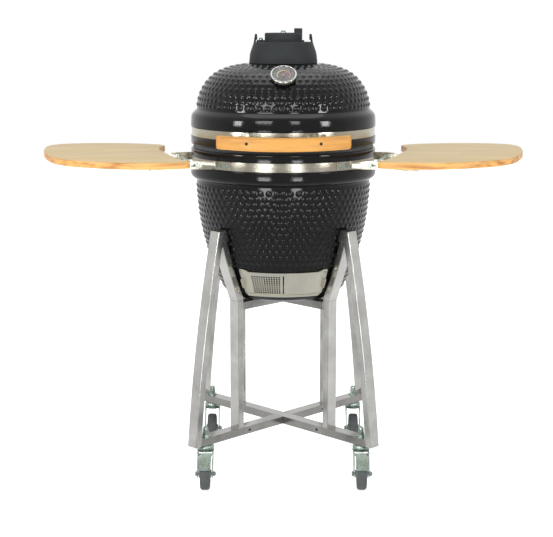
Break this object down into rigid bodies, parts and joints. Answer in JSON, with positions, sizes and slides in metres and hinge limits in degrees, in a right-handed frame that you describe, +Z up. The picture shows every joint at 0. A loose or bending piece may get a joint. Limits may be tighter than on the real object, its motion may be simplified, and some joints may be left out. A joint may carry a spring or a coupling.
{
  "type": "kamado ceramic grill",
  "caption": "Egg-shaped ceramic charcoal grill with hinged lid, chimney vent, draft door and folding wooden side shelves on a wheeled steel stand",
  "frame": {"origin": "On the ground under the grill's vertical turning axis", "axes": "+X to the right seen from the front, along both side shelves; +Y to the back, where the lid's hinge is; +Z up"},
  "size_m": [1.3434, 0.7092, 1.245],
  "materials": {
    "black_glaze": "gloss black glaze, raised bumps",
    "fireclay": "unglazed fireclay",
    "polished_stainless": "polished stainless",
    "brushed_stainless": "brushed stainless",
    "zinc_plate": "bright zinc plate",
    "cast_iron": "matte black cast iron",
    "bamboo": "pale laminated bamboo, satin",
    "honey_bamboo": "honey bamboo, satin",
    "grey_rubber": "dark grey rubber",
    "gasket_felt": "black gasket felt",
    "needle_red": "red paint"
  },
  "bodies": {
    "stand": {"base_bowl": "black_glaze", "firebox": "fireclay", "fire_ring": "fireclay", "base_band": "polished_stainless", "hinge_lower_bracket": "polished_stainless", "bottom_rail_a": "polished_stainless", "bottom_rail_b": "polished_stainless", "top_cross": "polished_stainless", "leg_rear_right": "polished_stainless", "leg_rear_left": "polished_stainless", "leg_front_left": "polished_stainless", "leg_front_right": "polished_stainless", "shelf_bracket_left_front": "polished_stainless", "shelf_bracket_left_rear": "polished_stainless", "shelf_bracket_right_front": "polished_stainless", "shelf_bracket_right_rear": "polished_stainless", "cooking_grid": "brushed_stainless", "draft_frame": "brushed_stainless", "hinge_pin": "zinc_plate", "caster_stem_rear_right": "zinc_plate", "caster_stem_rear_left": "zinc_plate", "caster_stem_front_left": "zinc_plate", "caster_stem_front_right": "zinc_plate", "charcoal_grate": "cast_iron", "base_gasket": "gasket_felt"},
    "lid": {"lid_dome": "black_glaze", "lid_band": "polished_stainless", "lid_handle": "honey_bamboo", "handle_bracket_left": "polished_stainless", "handle_bracket_right": "polished_stainless", "vent_base": "cast_iron", "vent_pivot_screw": "zinc_plate", "thermometer_case": "polished_stainless", "hinge_upper_bracket": "polished_stainless"},
    "vent_plate": {"vent_slide_plate": "cast_iron", "vent_centre_screw": "zinc_plate"},
    "vent_cap": {"vent_wheel": "cast_iron"},
    "needle": {"thermometer_needle": "needle_red"},
    "mesh_slide": {"draft_mesh_slide": "brushed_stainless"},
    "solid_slide": {"draft_solid_slide": "brushed_stainless"},
    "rod_left": {"shelf_rod_left": "zinc_plate"},
    "shelf_left": {"shelf_board_left": "bamboo", "shelf_frame_left": "polished_stainless"},
    "rod_right": {"shelf_rod_right": "zinc_plate"},
    "shelf_right": {"shelf_board_right": "bamboo", "shelf_frame_right": "polished_stainless"},
    "caster_rear_right": {"caster_fork_rear_right": "zinc_plate", "caster_axle_rear_right": "zinc_plate"},
    "wheel_rear_right": {"caster_wheel_rear_right": "grey_rubber"},
    "caster_rear_left": {"caster_fork_rear_left": "zinc_plate", "caster_axle_rear_left": "zinc_plate"},
    "wheel_rear_left": {"caster_wheel_rear_left": "grey_rubber"},
    "caster_front_left": {"caster_fork_front_left": "zinc_plate", "caster_axle_front_left": "zinc_plate"},
    "wheel_front_left": {"caster_wheel_front_left": "grey_rubber"},
    "caster_front_right": {"caster_fork_front_right": "zinc_plate", "caster_axle_front_right": "zinc_plate"},
    "wheel_front_right": {"caster_wheel_front_right": "grey_rubber"},
    "pedal_front_left": {"brake_pedal_front_left": "zinc_plate"},
    "pedal_front_right": {"brake_pedal_front_right": "zinc_plate"}
  },
  "joints": [
    {"name": "lid_hinge", "type": "hinge", "parent": "stand", "child": "lid", "pos_m": [0, 0.29, 0.9236], "axis": [-1, 0, 0], "range_deg": [0, 75]},
    {"name": "vent_swing", "type": "hinge", "parent": "lid", "child": "vent_plate", "pos_m": [-0.062, 0, 1.208], "axis": [0, 0, 1], "range_deg": [0, 80]},
    {"name": "vent_turn", "type": "hinge", "parent": "vent_plate", "child": "vent_cap", "pos_m": [0, 0, 1.2325], "axis": [0, 0, 1], "range_deg": [0, 45]},
    {"name": "needle_turn", "type": "hinge", "parent": "lid", "child": "needle", "pos_m": [0, -0.2049, 1.12569], "axis": [0, -0.6157, 0.788], "range_deg": [-80, 160]},
    {"name": "mesh_slide_track", "type": "hinge", "parent": "stand", "child": "mesh_slide", "pos_m": [0, 0, 0.557], "axis": [0, 0, 1], "range_deg": [0, 34]},
    {"name": "solid_slide_track", "type": "hinge", "parent": "stand", "child": "solid_slide", "pos_m": [0, 0, 0.557], "axis": [0, 0, 1], "range_deg": [-33, 0]},
    {"name": "shelf_pull_left", "type": "slide", "parent": "stand", "child": "rod_left", "axis": [-0.9703, -0.2419, 0], "range_m": [0, 0.012]},
    {"name": "shelf_fold_left", "type": "hinge", "parent": "rod_left", "child": "shelf_left", "pos_m": [-0.26392, -0.0658, 0.885], "axis": [0.2419, -0.9703, 0], "range_deg": [0, 90]},
    {"name": "shelf_pull_right", "type": "slide", "parent": "stand", "child": "rod_right", "axis": [0.9703, -0.2419, 0], "range_m": [0, 0.012]},
    {"name": "shelf_fold_right", "type": "hinge", "parent": "rod_right", "child": "shelf_right", "pos_m": [0.26392, -0.0658, 0.885], "axis": [0.2419, 0.9703, 0], "range_deg": [0, 90]},
    {"name": "swivel_rear_right", "type": "hinge", "parent": "stand", "child": "caster_rear_right", "pos_m": [0.21425, 0.21425, 0.104], "axis": [0, 0, 1], "continuous": true},
    {"name": "roll_rear_right", "type": "hinge", "parent": "caster_rear_right", "child": "wheel_rear_right", "pos_m": [0.21425, 0.17425, 0.044], "axis": [1, 0, 0], "continuous": true},
    {"name": "swivel_rear_left", "type": "hinge", "parent": "stand", "child": "caster_rear_left", "pos_m": [-0.21425, 0.21425, 0.104], "axis": [0, 0, 1], "continuous": true},
    {"name": "roll_rear_left", "type": "hinge", "parent": "caster_rear_left", "child": "wheel_rear_left", "pos_m": [-0.21425, 0.17425, 0.044], "axis": [1, 0, 0], "continuous": true},
    {"name": "swivel_front_left", "type": "hinge", "parent": "stand", "child": "caster_front_left", "pos_m": [-0.21425, -0.21425, 0.104], "axis": [0, 0, 1], "continuous": true},
    {"name": "roll_front_left", "type": "hinge", "parent": "caster_front_left", "child": "wheel_front_left", "pos_m": [-0.21425, -0.25425, 0.044], "axis": [1, 0, 0], "continuous": true},
    {"name": "brake_front_left", "type": "hinge", "parent": "caster_front_left", "child": "pedal_front_left", "pos_m": [-0.21425, -0.24825, 0.096], "axis": [1, 0, 0], "range_deg": [0, 3.5]},
    {"name": "swivel_front_right", "type": "hinge", "parent": "stand", "child": "caster_front_right", "pos_m": [0.21425, -0.21425, 0.104], "axis": [0, 0, 1], "continuous": true},
    {"name": "roll_front_right", "type": "hinge", "parent": "caster_front_right", "child": "wheel_front_right", "pos_m": [0.21425, -0.25425, 0.044], "axis": [1, 0, 0], "continuous": true},
    {"name": "brake_front_right", "type": "hinge", "parent": "caster_front_right", "child": "pedal_front_right", "pos_m": [0.21425, -0.24825, 0.096], "axis": [1, 0, 0], "range_deg": [0, 3.5]}
  ]
}
